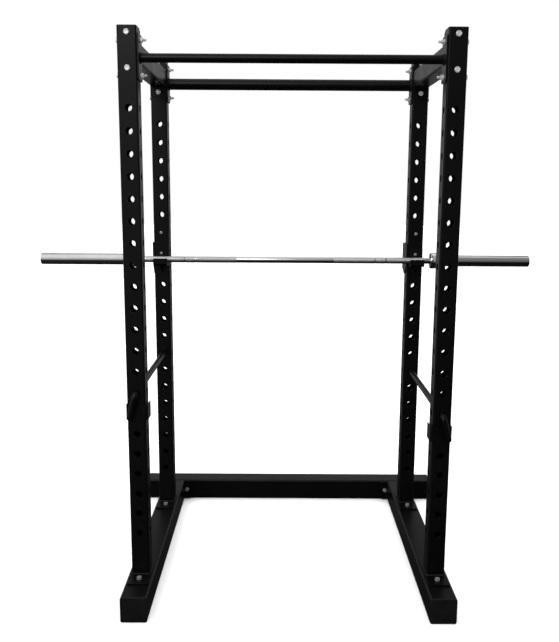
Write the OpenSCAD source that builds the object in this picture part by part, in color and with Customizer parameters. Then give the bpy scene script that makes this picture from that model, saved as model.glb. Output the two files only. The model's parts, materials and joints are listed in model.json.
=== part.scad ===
// Power cage: four punched uprights on a floor frame, two pull-up bars, two
// safety rods, two J-hooks and the barbell that hangs in the hooks.
// Z is up and the floor is Z = 0. The open front faces -Y, and the origin is
// the floor point midway along the base and midway between the side rails.

/* [Uprights] */
// Width over the outer faces of the uprights
cage_w = 1225; // [1100:5:1300]
// Distance from a front upright to the rear upright behind it
upright_pitch = 710; // [650:10:800]
// Side of the square upright tube
upright_side = 70; // [65:1:75]
// Height of the top of the upright tubes above the floor
upright_top = 2152; // [2120:1:2200]
// Wall of the upright and beam tubes
tube_wall = 3; // [2:0.5:4]
// Outer corner radius of the upright and beam tubes
tube_corner = 6; // [4:1:8]

/* [Punched holes] */
// Diameter of the punched holes
hole_d = 26; // [25.5:0.5:27]
// Distance between neighbouring holes
hole_pitch = 80; // [70:1:85]
// Height of the top hole above the floor
top_hole_z = 1877; // [1860:1:1900]
// Number of hole levels in each upright
hole_count = 21; // [18:1:21]

/* [Base] */
// Side of the square base tubes
base_side = 100; // [90:2:110]
// Wall of the base tubes
base_wall = 3; // [2:0.5:4]
// Outer corner radius of the base tubes
base_corner = 8; // [6:1:10]
// Reach of the side rails in front of the front uprights
rail_reach = 170; // [150:5:220]
// Gap between the rear uprights and the rear crossmember
rear_gap = 220; // [150:5:260]
// Length of the rear crossmember over its end caps
crossmember_l = 1500; // [1420:10:1600]
// Length of an upright's foot plate
foot_plate_l = 220; // [200:5:240]
// Distance from an upright's axis to its foot bolts
foot_bolt_y = 72; // [60:1:80]

/* [Top frame] */
// Outer diameter of the thin front pull-up bar
front_bar_d = 32; // [28:1:40]
// Outer diameter of the fat rear pull-up bar
rear_bar_d = 48; // [42:1:52]
// Height of the pull-up bars' axes
bar_z = 2050; // [2045:1:2052]
// Height of the side beams' axes
beam_z = 2072; // [2068:1:2072]
// Distance between the two bolts of a flange plate
flange_bolt_pitch = 120; // [116:2:124]
// Height of a flange plate
flange_h = 160; // [150:2:160]
// Thickness of the flange and foot plates
plate_t = 6; // [5:1:8]

/* [Fasteners] */
// Bolt shank diameter
bolt_d = 10; // [10:1:12]
// Width across the flats of bolt heads and nuts
bolt_af = 17; // [17:1:19]

/* [Safety rods] */
// Diameter of the safety rods
rod_d = 25; // [24:0.5:25]
// Hole level of the left rod, counted from the top
left_rod_level = 14; // [12:1:16]
// Hole level of the right rod, counted from the top
right_rod_level = 15; // [12:1:16]
// Lean of the rods' legs, away from the middle of the cage
rod_lean = 14; // [0:1:20]
// Height of the saddle that hugs the front upright
saddle_h = 60; // [50:2:70]

/* [J-hooks] */
// Hole level of the hook pins, counted from the top
hook_level = 7; // [5:1:9]
// Width of the hook's cradle and lip
hook_w = 62; // [50:2:64]
// Diameter of the hook pin
hook_pin_d = 24; // [22:0.5:25]
// Thickness of the hook's plates
hook_t = 6; // [5:0.5:8]

/* [Barbell] */
// Length of the barbell over its sleeves
barbell_l = 2200; // [2130:10:2200]
// Distance between the inner faces of the sleeve collars
barbell_grip_l = 1310; // [1300:5:1320]
// Diameter of the grip
grip_d = 28; // [25.5:0.5:29]
// Diameter of the sleeves
sleeve_d = 50; // [49:0.5:50]
// How far the barbell sits from the middle of the cage, to the right
barbell_shift = -15; // [-20:1:20]

/* [Hidden] */

$fn = 48;
LEFT = -1;
RIGHT = 1;
FRONT = -1;
REAR = 1;
steel_black = [0.09, 0.09, 0.10];
plastic_black = [0.05, 0.05, 0.05];
zinc = [0.75, 0.76, 0.78];
chrome = [0.82, 0.83, 0.85];
bronze = [0.62, 0.47, 0.25];
liner_black = [0.10, 0.10, 0.10];

// Base layout along Y
base_l = rail_reach + upright_pitch + upright_side + rear_gap + base_side;
base_front = -base_l / 2;
crossmember_front = base_l / 2 - base_side;
rail_cap_t = 5;
rail_plug_l = 20;
rail_flange_t = 8;
rail_flange_w = 170;
rail_flange_h = 90;
rail_flange_bolt_x = 64;
rail_flange_bolt_z = 52;

// Upright axes
column_x = (cage_w - upright_side) / 2;
front_column_y = base_front + rail_reach + upright_side / 2;
rear_column_y = front_column_y + upright_pitch;
upright_base = base_side + plate_t;
half_side = upright_side / 2;
beam_l = upright_pitch - upright_side;
bar_l = cage_w - 2 * upright_side;
cap_t = 4;
cap_plug_l = 12;
cap_chamfer = 2.5;
cap_play = 0.4;

// Fasteners
bolt_clear_d = bolt_d + 1;
bolt_head_h = 6.5;
nut_h = 8;
nut_bore_d = bolt_d + 0.2;
washer_d = 20;
washer_t = 2;
bolt_tail = 12;
base_bolt_tail = 7;
top_grip = upright_side + plate_t;
base_grip = rail_flange_t + base_side;
foot_grip = plate_t + base_wall;

// Safety rods: the elbow starts at the upright's front face, and the saddle
// hangs a little toward the middle of the cage
rod_bend_r = 18;
rod_rear_reach = 35;
rod_tip = 2;
rod_leg_l = 98;
saddle_drop = 74;
saddle_t = 3;
saddle_play = 3.5;
saddle_shift = 2.4;
saddle_front = -(rod_bend_r - rod_d / 2);
saddle_depth = 66;
saddle_corner = 8;

// J-hooks, measured from the pin axis and the upright's front face
hook_top = 18;
hook_bottom = -185;
hook_floor_z = -145;
hook_lip_top = -113;
hook_depth = 65;
hook_bend_r = 10;
hook_shift = 2;
hook_tab_t = 4;
hook_tab_play = 0.8;
hook_tab_top = -45;
hook_tab_cut = 45;
hook_tab_foot = [40, 55];
hook_tab_depth = 104;
hook_tab_rear_low = -163;
hook_pin_l = 78;
hook_liner_t = 6;
hook_back_liner_t = 5;
hook_back_liner_top = -64;
gusset_t = 6;
hook_corner = 10;
screw_d = 8;
screw_clear_d = screw_d + 0.6;
screw_head_d = 14;
screw_head_h = 4.4;
pin_screw_l = 20;
liner_screw_l = 10.5;
liner_screw_z = -93.5;
rest_gap = 0.3;

// Barbell
barbell_y = rear_column_y - half_side - 35;
barbell_z = top_hole_z - (hook_level - 1) * hole_pitch + hook_floor_z
          + hook_t + hook_liner_t + rest_gap + grip_d / 2;
journal_d = 25;
bushing_play = 0.05;
bushing_od = 32;
bushing_l = 40;
collar_d = 70;
collar_l = 30;
shoulder_gap = 0.5;
shaft_inset = 10;
snap_ring_t = 1.6;
snap_ring_d = 30;
snap_groove_d = 23;
snap_inset = 15;
plug_t = 6;
sleeve_l = (barbell_l - barbell_grip_l) / 2;

function level_z(level) = top_hole_z - (level - 1) * hole_pitch;
function column_y(end) = end == FRONT ? front_column_y : rear_column_y;

// ---- Shared shapes ----

module rounded_square(side, r) {
  square([side - 2 * r, side], center = true);
  square([side, side - 2 * r], center = true);
  for (x = [-1, 1], y = [-1, 1])
    translate([x, y] * (side / 2 - r)) circle(r);
}

module rounded_plate(w, h, r) {
  square([w - 2 * r, h], center = true);
  square([w, h - 2 * r], center = true);
  for (x = [-1, 1], y = [-1, 1])
    translate([x * (w / 2 - r), y * (h / 2 - r)]) circle(r);
}

module square_tube(side, wall, r, l) {
  linear_extrude(l) difference() {
    rounded_square(side, r);
    rounded_square(side - 2 * wall, r - wall);
  }
}

// Hole along Y through a square tube that stands on the Z axis
module cross_hole(d, side) {
  rotate([90, 0, 0]) cylinder(d = d, h = side + 2, center = true);
}

// Chamfered head on Z = 0 and up, with a plug below that enters the tube
module tube_cap(side, wall, r, t, plug_l) {
  inner = side - 2 * wall - 2 * cap_play;
  intersection() {
    linear_extrude(t) rounded_square(side, r);
    for_both_ways() rotate([90, 0, 0])
      linear_extrude(side + 2, center = true) cap_outline(side, t);
  }
  translate([0, 0, -plug_l]) linear_extrude(plug_l) difference() {
    rounded_square(inner, r - wall);
    rounded_square(inner - 2 * wall, 1);
  }
}

module for_both_ways() {
  intersection() {
    children();
    rotate(90) children();
  }
}

module cap_outline(side, t) {
  half = side / 2;
  polygon([
    [-half, 0], [half, 0], [half, t - cap_chamfer], [half - cap_chamfer, t],
    [cap_chamfer - half, t], [-half, t - cap_chamfer]
  ]);
}

// Two-bolt flange plate, upright in the XZ plane, from Y = 0 to Y = plate_t
module flange_plate() {
  rotate([90, 0, 0]) translate([0, 0, -plate_t])
    linear_extrude(plate_t) difference() {
      rounded_plate(upright_side, flange_h, tube_corner);
      for (z = [-1, 1])
        translate([0, z * flange_bolt_pitch / 2]) circle(d = bolt_clear_d);
    }
}

// ---- Base ----

module base_rail(side) {
  rail_l = crossmember_front - rail_flange_t - base_front - rail_cap_t;
  color(steel_black) difference() {
    translate([side * column_x, base_front + rail_cap_t, base_side / 2])
      rotate([-90, 0, 0])
        square_tube(base_side, base_wall, base_corner, rail_l);
    for (end = [FRONT, REAR], y = [-1, 1])
      translate([side * column_x, column_y(end) + y * foot_bolt_y,
                 base_side - 2 * base_wall])
        cylinder(d = bolt_clear_d, h = 3 * base_wall);
  }
}

module rail_flange(side) {
  color(steel_black)
    translate([side * column_x, crossmember_front, base_side / 2])
      rotate([90, 0, 0]) linear_extrude(rail_flange_t) difference() {
        rounded_plate(rail_flange_w, rail_flange_h, base_corner);
        for (x = [-1, 1])
          translate([x * rail_flange_bolt_x,
                     rail_flange_bolt_z - base_side / 2])
            circle(d = bolt_clear_d);
      }
}

module rear_crossmember() {
  tube_l = crossmember_l - 2 * rail_cap_t;
  color(steel_black) difference() {
    translate([-tube_l / 2, crossmember_front + base_side / 2, base_side / 2])
      rotate([90, 0, 90])
        square_tube(base_side, base_wall, base_corner, tube_l);
    for (side = [LEFT, RIGHT], x = [-1, 1])
      translate([side * column_x + x * rail_flange_bolt_x,
                 crossmember_front + base_side / 2, rail_flange_bolt_z])
        cross_hole(bolt_clear_d, base_side);
  }
}

module rail_cap(side) {
  color(plastic_black)
    translate([side * column_x, base_front + rail_cap_t, base_side / 2])
      rotate([90, 0, 0])
        tube_cap(base_side, base_wall, base_corner, rail_cap_t, rail_plug_l);
}

module crossmember_cap(side) {
  color(plastic_black)
    translate([side * (crossmember_l / 2 - rail_cap_t),
               crossmember_front + base_side / 2, base_side / 2])
      rotate([0, side * 90, 0])
        tube_cap(base_side, base_wall, base_corner, rail_cap_t, rail_plug_l);
}

// ---- Uprights ----

module upright(side, end) {
  color(steel_black) translate([side * column_x, column_y(end), 0])
    difference() {
      translate([0, 0, upright_base])
        square_tube(upright_side, tube_wall, tube_corner,
                    upright_top - upright_base);
      for (level = [1 : hole_count], turn = [0, 90])
        translate([0, 0, level_z(level)]) rotate(turn)
          cross_hole(hole_d, upright_side);
      for (z = [-1, 1]) {
        translate([0, 0, beam_z + z * flange_bolt_pitch / 2])
          cross_hole(bolt_clear_d, upright_side);
        translate([0, 0, bar_z + z * flange_bolt_pitch / 2]) rotate(90)
          cross_hole(bolt_clear_d, upright_side);
      }
    }
}

module foot_plate(side, end) {
  color(steel_black)
    translate([side * column_x, column_y(end), base_side])
      linear_extrude(plate_t) difference() {
        rounded_plate(base_side - 2 * base_corner, foot_plate_l, tube_corner);
        for (y = [-1, 1])
          translate([0, y * foot_bolt_y]) circle(d = bolt_clear_d);
      }
}

module upright_cap(side, end) {
  color(plastic_black)
    translate([side * column_x, column_y(end), upright_top])
      tube_cap(upright_side, tube_wall, tube_corner, cap_t, cap_plug_l);
}

// ---- Top frame ----

module side_beam(side) {
  color(steel_black)
    translate([side * column_x, front_column_y + half_side + plate_t, beam_z])
      rotate([-90, 0, 0])
        square_tube(upright_side, tube_wall, tube_corner,
                    beam_l - 2 * plate_t);
}

module beam_flanges(side) {
  color(steel_black) translate([side * column_x, 0, beam_z]) {
    translate([0, front_column_y + half_side, 0]) flange_plate();
    translate([0, rear_column_y - half_side - plate_t, 0]) flange_plate();
  }
}

module pullup_bar(end, d) {
  color(steel_black) translate([0, column_y(end), bar_z])
    rotate([0, 90, 0]) difference() {
      cylinder(d = d, h = bar_l - 2 * plate_t, center = true);
      cylinder(d = d - 2 * tube_wall, h = bar_l, center = true);
    }
}

module bar_flanges(end) {
  color(steel_black) translate([0, column_y(end), bar_z])
    for (turn = [90, -90])
      rotate(turn) translate([0, bar_l / 2 - plate_t, 0]) flange_plate();
}

// ---- Fasteners ----

// Puts its children on the outer face of every upright at each flange bolt,
// with +Z pointing out of the upright
module at_top_bolts() {
  for (side = [LEFT, RIGHT], end = [FRONT, REAR], z = [-1, 1])
    translate([side * column_x, column_y(end),
               z * flange_bolt_pitch / 2]) {
      translate([0, end * half_side, beam_z])
        rotate([-end * 90, 0, 0]) children();
      translate([side * half_side, 0, bar_z])
        rotate([0, side * 90, 0]) children();
    }
}

module at_foot_bolts() {
  for (side = [LEFT, RIGHT], end = [FRONT, REAR], y = [-1, 1])
    translate([side * column_x, column_y(end) + y * foot_bolt_y,
               upright_base])
      children();
}

module at_base_bolts() {
  for (side = [LEFT, RIGHT], x = [-1, 1])
    translate([side * column_x + x * rail_flange_bolt_x,
               crossmember_front - rail_flange_t, rail_flange_bolt_z])
      rotate([90, 0, 0]) children();
}

// Head above Z = 0, shank below it, with room for one washer under the head
module hex_bolt(shank_l) {
  color(zinc) {
    translate([0, 0, washer_t])
      cylinder(d = bolt_af / cos(30), h = bolt_head_h, $fn = 6);
    translate([0, 0, -shank_l]) cylinder(d = bolt_d, h = shank_l + washer_t);
  }
}

module washer() {
  color(zinc) difference() {
    cylinder(d = washer_d, h = washer_t);
    translate([0, 0, -1]) cylinder(d = bolt_clear_d, h = washer_t + 2);
  }
}

module hex_nut() {
  color(zinc) difference() {
    cylinder(d = bolt_af / cos(30), h = nut_h, $fn = 6);
    translate([0, 0, -1]) cylinder(d = nut_bore_d, h = nut_h + 2);
  }
}

module through_bolt(grip, tail) {
  hex_bolt(grip + washer_t + nut_h + tail);
}

module washer_pair(grip) {
  washer();
  translate([0, 0, -grip - washer_t]) washer();
}

module far_nut(grip) {
  translate([0, 0, -grip - washer_t - nut_h]) hex_nut();
}

module foot_bolt() {
  hex_bolt(foot_grip + nut_h + bolt_tail);
}

module foot_weld_nut() {
  translate([0, 0, -foot_grip - nut_h]) hex_nut();
}

// ---- J-hooks ----

module at_hook(side) {
  translate([side * column_x, rear_column_y - half_side, level_z(hook_level)])
    children();
}

// Outline of the bent cradle, front to the left, upright's face on X = 0
module cradle_outline() {
  leg_low = hook_floor_z + hook_bend_r;
  leg_l = hook_lip_top - leg_low;
  translate([-hook_t, leg_low]) square([hook_t, leg_l]);
  translate([-hook_depth, leg_low]) square([hook_t, leg_l]);
  translate([-hook_depth + hook_bend_r, hook_floor_z])
    square([hook_depth - 2 * hook_bend_r, hook_t]);
  translate([-hook_bend_r, leg_low]) bend_outline(-90);
  translate([-hook_depth + hook_bend_r, leg_low]) bend_outline(180);
}

// Quarter of a plate bend, in the first quadrant before it is turned
module bend_outline(turn) {
  rotate(turn) intersection() {
    difference() {
      circle(hook_bend_r);
      circle(hook_bend_r - hook_t);
    }
    square(hook_bend_r);
  }
}

module gusset_outline() {
  polygon([
    [0, hook_bottom], [0, hook_floor_z + hook_bend_r],
    [-hook_bend_r, hook_floor_z], [-hook_depth + hook_bend_r, hook_floor_z]
  ]);
}

// Turns a front-to-back outline so that it is extruded along X
module side_profile(w) {
  rotate([90, 0, 90]) linear_extrude(w, center = true) children();
}

module j_hook(side) {
  tab_outer = half_side + hook_tab_play + hook_tab_t;
  color(steel_black) at_hook(side) difference() {
    union() {
      translate([hook_shift, 0, 0]) {
        side_profile(hook_w) cradle_outline();
        side_profile(gusset_t) gusset_outline();
      }
      rotate([90, 0, 0]) linear_extrude(hook_t) back_plate_outline(-tab_outer);
      translate([hook_tab_t / 2 - tab_outer, 0, 0])
        side_profile(hook_tab_t) tab_outline();
    }
    for (z = [0, liner_screw_z])
      translate([0, 0, z]) cross_hole(screw_clear_d, 2 * hook_t);
  }
}

// Back plate seen from the front: the side tab joins its left edge, and both
// end in the same slanted cut
module back_plate_outline(left) {
  right = hook_w / 2 + hook_shift;
  polygon([
    [left, hook_bottom + hook_tab_cut], [-half_side, hook_bottom],
    [right - hook_corner, hook_bottom], [right, hook_bottom + hook_corner],
    [right, hook_top - hook_corner], [right - hook_corner, hook_top],
    [hook_corner - right, hook_top], [-right, hook_top - hook_corner],
    [-right, hook_tab_top], [left, hook_tab_top]
  ]);
}

// Side tab seen from the left: it reaches past the back of the upright
module tab_outline() {
  polygon([
    [-hook_t, hook_bottom + hook_tab_cut], [hook_tab_foot[0], hook_bottom],
    [hook_tab_foot[1], hook_bottom], [hook_tab_depth, hook_tab_rear_low],
    [hook_tab_depth, hook_tab_top - hook_corner],
    [hook_tab_depth - hook_corner, hook_tab_top], [-hook_t, hook_tab_top]
  ]);
}

// Pin with a blind hole in its front end for the screw that holds it
module hook_pin(side) {
  tip = 3;
  color(steel_black) at_hook(side) rotate([-90, 0, 0]) difference() {
    union() {
      cylinder(d = hook_pin_d, h = hook_pin_l - tip);
      translate([0, 0, hook_pin_l - tip])
        cylinder(d1 = hook_pin_d, d2 = hook_pin_d - 2 * tip, h = tip);
    }
    translate([0, 0, -1]) cylinder(d = screw_clear_d, h = pin_screw_l - 3);
  }
}

// L-shaped pad: the seat runs to the end of the flat floor, the back pad rises
// from the bend
module hook_liner(side) {
  floor_top = hook_floor_z + hook_t;
  seat_top = floor_top + hook_liner_t;
  bend_inner_r = hook_bend_r - hook_t;
  pad_front = -hook_t - hook_back_liner_t;
  seat_front = -hook_depth + hook_bend_r;
  color(liner_black) at_hook(side) difference() {
    translate([hook_shift, 0, 0]) side_profile(hook_w) polygon([
      [seat_front, floor_top], [-hook_bend_r, floor_top],
      [-hook_t, floor_top + bend_inner_r], [-hook_t, hook_back_liner_top],
      [pad_front, hook_back_liner_top], [pad_front, seat_top],
      [seat_front, seat_top]
    ]);
    translate([0, pad_front, liner_screw_z])
      cross_hole(screw_clear_d, 3 * hook_back_liner_t);
  }
}

// Button-head screws: one into the pin, one through the pad into the plate
module hook_screws(side) {
  color(zinc) at_hook(side) {
    translate([0, -hook_t, 0]) button_screw(pin_screw_l);
    translate([0, -hook_t - hook_back_liner_t, liner_screw_z])
      button_screw(liner_screw_l);
  }
}

// Points along -Y, with the underside of its head on Y = 0
module button_screw(shank_l) {
  rotate([90, 0, 0]) {
    cylinder(d1 = screw_head_d, d2 = screw_head_d / 2, h = screw_head_h);
    translate([0, 0, -shank_l]) cylinder(d = screw_d, h = shank_l + 1);
  }
}

// ---- Safety rods ----

module at_rod(side, level) {
  translate([side * column_x, front_column_y - half_side, level_z(level)])
    children();
}

module safety_rod(side, level) {
  rod_l = upright_pitch + upright_side + rod_rear_reach;
  straight_l = rod_leg_l - rod_bend_r;
  color(steel_black) at_rod(side, level) rotate([0, -side * rod_lean, 0]) {
    rotate([-90, 0, 0]) cylinder(d = rod_d, h = rod_l - rod_tip);
    translate([0, rod_l - rod_tip, 0]) rotate([-90, 0, 0])
      cylinder(d1 = rod_d, d2 = rod_d - 2 * rod_tip, h = rod_tip);
    translate([0, 0, -rod_bend_r]) rotate([0, -90, 180])
      rotate_extrude(angle = 90) translate([rod_bend_r, 0])
        circle(d = rod_d);
    translate([0, -rod_bend_r, -rod_bend_r]) mirror([0, 0, 1]) {
      cylinder(d = rod_d, h = straight_l - rod_tip);
      translate([0, 0, straight_l - rod_tip])
        cylinder(d1 = rod_d, d2 = rod_d - 2 * rod_tip, h = rod_tip);
    }
  }
}

// Bent plate that hugs the front and both sides of the front upright
module saddle(side, level) {
  color(steel_black) at_rod(side, level)
    translate([-side * saddle_shift, 0, -saddle_drop - saddle_h / 2])
      linear_extrude(saddle_h) saddle_outline();
}

module saddle_outline() {
  inner = half_side + saddle_play;
  outer = inner + saddle_t;
  difference() {
    translate([0, saddle_front + saddle_depth])
      rounded_plate(2 * outer, 2 * saddle_depth, saddle_corner);
    translate([0, saddle_front + saddle_t + saddle_depth])
      rounded_plate(2 * inner, 2 * saddle_depth,
                    saddle_corner - saddle_t);
    translate([-cage_w / 2, saddle_front + saddle_depth])
      square([cage_w, 2 * saddle_depth]);
  }
}

// ---- Barbell ----

module at_barbell() {
  translate([barbell_shift, barbell_y, barbell_z]) children();
}

// Puts its children at a sleeve's inner end, with +Z pointing out of the bar
module at_sleeve(side) {
  at_barbell() rotate([0, side * 90, 0])
    translate([0, 0, barbell_grip_l / 2]) children();
}

module barbell_shaft() {
  journal_l = sleeve_l - shaft_inset + shoulder_gap;
  groove_z = sleeve_l - snap_inset;
  color(chrome) {
    at_barbell() rotate([0, 90, 0])
      cylinder(d = grip_d, h = barbell_grip_l - 2 * shoulder_gap,
               center = true);
    for (side = [LEFT, RIGHT]) at_sleeve(side) difference() {
      translate([0, 0, -shoulder_gap]) cylinder(d = journal_d, h = journal_l);
      translate([0, 0, groove_z]) tube_ring(journal_d + 1, snap_groove_d,
                                            snap_ring_t);
    }
  }
}

module tube_ring(outer_d, inner_d, h) {
  difference() {
    cylinder(d = outer_d, h = h);
    translate([0, 0, -1]) cylinder(d = inner_d, h = h + 2);
  }
}

module barbell_snap_rings() {
  color(zinc) for (side = [LEFT, RIGHT]) at_sleeve(side)
    translate([0, 0, sleeve_l - snap_inset])
      tube_ring(snap_ring_d, snap_groove_d, snap_ring_t);
}

module sleeve(side) {
  color(chrome) at_sleeve(side) difference() {
    union() {
      cylinder(d = collar_d, h = collar_l);
      cylinder(d = sleeve_d, h = sleeve_l);
    }
    translate([0, 0, -1]) cylinder(d = bushing_od, h = sleeve_l + 2);
  }
}

module bushings(side) {
  bore = journal_d + 2 * bushing_play;
  outer_z = sleeve_l - snap_inset - bushing_l - shoulder_gap;
  color(bronze) at_sleeve(side) for (z = [0, outer_z])
    translate([0, 0, z]) tube_ring(bushing_od, bore, bushing_l);
}

module sleeve_plug(side) {
  color(plastic_black) at_sleeve(side)
    translate([0, 0, sleeve_l - plug_t]) cylinder(d = bushing_od, h = plug_t);
}

// ---- Nodes ----

base_rail(LEFT);  // left_base_rail
base_rail(RIGHT);  // right_base_rail
rail_flange(LEFT);  // left_rail_flange
rail_flange(RIGHT);  // right_rail_flange
rear_crossmember();
upright(LEFT, FRONT);  // front_left_upright
upright(RIGHT, FRONT);  // front_right_upright
upright(LEFT, REAR);  // rear_left_upright
upright(RIGHT, REAR);  // rear_right_upright
foot_plate(LEFT, FRONT);  // front_left_foot_plate
foot_plate(RIGHT, FRONT);  // front_right_foot_plate
foot_plate(LEFT, REAR);  // rear_left_foot_plate
foot_plate(RIGHT, REAR);  // rear_right_foot_plate
side_beam(LEFT);  // left_side_beam
side_beam(RIGHT);  // right_side_beam
beam_flanges(LEFT);  // left_beam_flanges
beam_flanges(RIGHT);  // right_beam_flanges
pullup_bar(FRONT, front_bar_d);  // front_pullup_bar
pullup_bar(REAR, rear_bar_d);  // rear_pullup_bar
bar_flanges(FRONT);  // front_bar_flanges
bar_flanges(REAR);  // rear_bar_flanges
upright_cap(LEFT, FRONT);  // front_left_upright_cap
upright_cap(RIGHT, FRONT);  // front_right_upright_cap
upright_cap(LEFT, REAR);  // rear_left_upright_cap
upright_cap(RIGHT, REAR);  // rear_right_upright_cap
rail_cap(LEFT);  // left_rail_cap
rail_cap(RIGHT);  // right_rail_cap
crossmember_cap(LEFT);  // left_crossmember_cap
crossmember_cap(RIGHT);  // right_crossmember_cap
at_top_bolts() through_bolt(top_grip, bolt_tail);  // top_bolts
at_top_bolts() washer_pair(top_grip);  // top_washers
at_top_bolts() far_nut(top_grip);  // top_nuts
at_foot_bolts() foot_bolt();  // foot_bolts
at_foot_bolts() washer();  // foot_washers
at_foot_bolts() foot_weld_nut();  // foot_weld_nuts
at_base_bolts() through_bolt(base_grip, base_bolt_tail);  // base_bolts
at_base_bolts() washer_pair(base_grip);  // base_washers
at_base_bolts() far_nut(base_grip);  // base_nuts
j_hook(LEFT);  // left_j_hook
hook_pin(LEFT);  // left_hook_pin
hook_liner(LEFT);  // left_hook_liner
hook_screws(LEFT);  // left_hook_screws
j_hook(RIGHT);  // right_j_hook
hook_pin(RIGHT);  // right_hook_pin
hook_liner(RIGHT);  // right_hook_liner
hook_screws(RIGHT);  // right_hook_screws
safety_rod(LEFT, left_rod_level);  // left_safety_rod
saddle(LEFT, left_rod_level);  // left_saddle
safety_rod(RIGHT, right_rod_level);  // right_safety_rod
saddle(RIGHT, right_rod_level);  // right_saddle
barbell_shaft();
barbell_snap_rings();
sleeve(LEFT);  // left_sleeve
bushings(LEFT);  // left_bushings
sleeve_plug(LEFT);  // left_sleeve_plug
sleeve(RIGHT);  // right_sleeve
bushings(RIGHT);  // right_bushings
sleeve_plug(RIGHT);  // right_sleeve_plug
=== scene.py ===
"""Looks for the power cage.

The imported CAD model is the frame. Tubes, plates, hooks and rods are copies of their CAD nodes with their
edges rounded. Fasteners, end caps, weld beads and the barbell are built here from profiles and rings.
"""

import json
import math

import bmesh
import bpy
from mathutils import Matrix, Vector, noise


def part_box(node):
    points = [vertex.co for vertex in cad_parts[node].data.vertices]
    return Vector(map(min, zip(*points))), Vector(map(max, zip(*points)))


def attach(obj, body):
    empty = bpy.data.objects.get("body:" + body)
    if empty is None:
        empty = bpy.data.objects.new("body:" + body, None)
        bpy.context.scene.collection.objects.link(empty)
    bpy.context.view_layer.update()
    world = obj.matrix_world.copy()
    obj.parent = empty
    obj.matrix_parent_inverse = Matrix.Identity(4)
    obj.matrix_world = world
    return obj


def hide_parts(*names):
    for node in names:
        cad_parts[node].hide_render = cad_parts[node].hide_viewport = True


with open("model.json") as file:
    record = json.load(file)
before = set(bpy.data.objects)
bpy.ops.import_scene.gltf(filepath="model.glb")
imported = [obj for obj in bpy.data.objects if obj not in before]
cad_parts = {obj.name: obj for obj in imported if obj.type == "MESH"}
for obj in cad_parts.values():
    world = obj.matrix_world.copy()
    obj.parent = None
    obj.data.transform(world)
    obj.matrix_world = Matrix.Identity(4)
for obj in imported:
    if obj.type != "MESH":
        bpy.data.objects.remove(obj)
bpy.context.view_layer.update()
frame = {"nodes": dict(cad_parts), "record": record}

MM = 0.001
SIDES = ("left", "right")
ENDS = ("front", "rear")
SIGN = {"left": -1, "right": 1, "front": -1, "rear": 1}

# Sizes that a node's box doesn't give, as in the CAD source
TUBE_CORNER = 6 * MM
BASE_CORNER = 8 * MM
TUBE_WALL = 3 * MM
PLATE_T = 6 * MM
FOOT_GRIP = PLATE_T + TUBE_WALL
FLANGE_BOLT_PITCH = 120 * MM
FOOT_BOLT_Y = 72 * MM
BASE_BOLT_X = 64 * MM
BASE_BOLT_Z = 52 * MM
CAP_PLUG_L = 12 * MM
RAIL_PLUG_L = 20 * MM

# M10 fasteners
BOLT_R = 5 * MM
BOLT_FLATS = 17 * MM
BOLT_FACE_R = 0.475 * BOLT_FLATS
BOLT_HEAD_H = 6.5 * MM
NUT_H = 8 * MM
WASHER_R = 10 * MM
WASHER_T = 2 * MM
WASHER_BORE_R = 5.5 * MM
THREAD_PITCH = 1.5 * MM
THREAD_DEPTH = 0.9 * MM
HEX_SEGMENTS = 48
BOLT_TAIL = 12 * MM
BASE_BOLT_TAIL = 7 * MM

# Barbell, along its axis from the middle
GRIP_R = 14 * MM
GRIP_HALF = 654.5 * MM
SMOOTH_CENTRE_HALF = 220 * MM
KNURL_END = 628 * MM
RING_MARKS = (405 * MM, 455 * MM)
RING_HALF_W = 2.5 * MM
RING_DEPTH = 0.5 * MM
COLLAR_START = 655 * MM
COLLAR_L = 30 * MM
COLLAR_R = 35 * MM
SLEEVE_R = 25 * MM
SLEEVE_BORE_R = 16 * MM
BARBELL_HALF = 1100 * MM
SMOOTH_R = GRIP_R - 0.25 * MM
JOURNAL_R = 12.5 * MM
SNAP_GROOVE_R = 11.5 * MM
SNAP_GROOVE_W = 1.6 * MM
SNAP_GROOVE_START = BARBELL_HALF - 15 * MM
SHAFT_END = BARBELL_HALF - 10 * MM
KNURL_STARTS = 60
KNURL_CROSSING = math.radians(60)

# Safety rods and hooks
ROD_R = 12.5 * MM
ROD_LEAN = math.radians(14)
ROD_LEG_L = 98 * MM
SADDLE_TOP_DROP = 44 * MM
HOOK_SHIFT = 2 * MM
HOOK_FLOOR_DROP = 145 * MM
HOOK_LINER_SCREW_DROP = 93.5 * MM
HOOK_LINER_T = 5 * MM
GUSSET_HALF_T = 3 * MM
SCREW_R = 4 * MM
SCREW_HEAD_R = 7 * MM
SCREW_HEAD_H = 4.4 * MM
SCREW_SOCKET_FLATS = 5 * MM
# The screw head's dome, in shares of its radius and height
SCREW_DOME = ((1.0, 0.0), (1.0, 0.10), (0.96, 0.34), (0.86, 0.63), (0.72, 0.86), (0.56, 1.0))
PIN_SCREW_L = 20 * MM
LINER_SCREW_L = 10.5 * MM

# Weld beads: spacing of the ripples and of the points along a bead, and lengths of the legs
WELD_RIPPLE = 2.6 * MM
WELD_STEP = WELD_RIPPLE / 4
TUBE_WELD = 4.5 * MM
RAIL_WELD = 5 * MM
SADDLE_WELD = 4 * MM
GUSSET_WELD = 3 * MM

# How far sharp edges are rounded off on copies of CAD nodes
STEEL_EDGE = 0.6 * MM
PAD_EDGE = 0.8 * MM
BUSHING_EDGE = 0.4 * MM
SNAP_RING_EDGE = 0.2 * MM

# Studio brightness by elevation in degrees, in front of the cage and behind it
FRONT_LEVELS = (
    (-90, 0.01), (-28, 0.02), (-18, 0.08), (-8, 0.30), (0, 0.42), (12, 0.65), (35, 0.85), (90, 1.0),
)
BACK_LEVELS = (
    (-90, 0.01), (-26, 0.02), (-19, 0.08), (-13, 0.22), (-4, 0.27), (8, 0.45),
    (16, 0.50), (21, 0.30), (26, 0.10), (38, 0.10), (52, 0.75), (90, 1.0),
)
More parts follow.
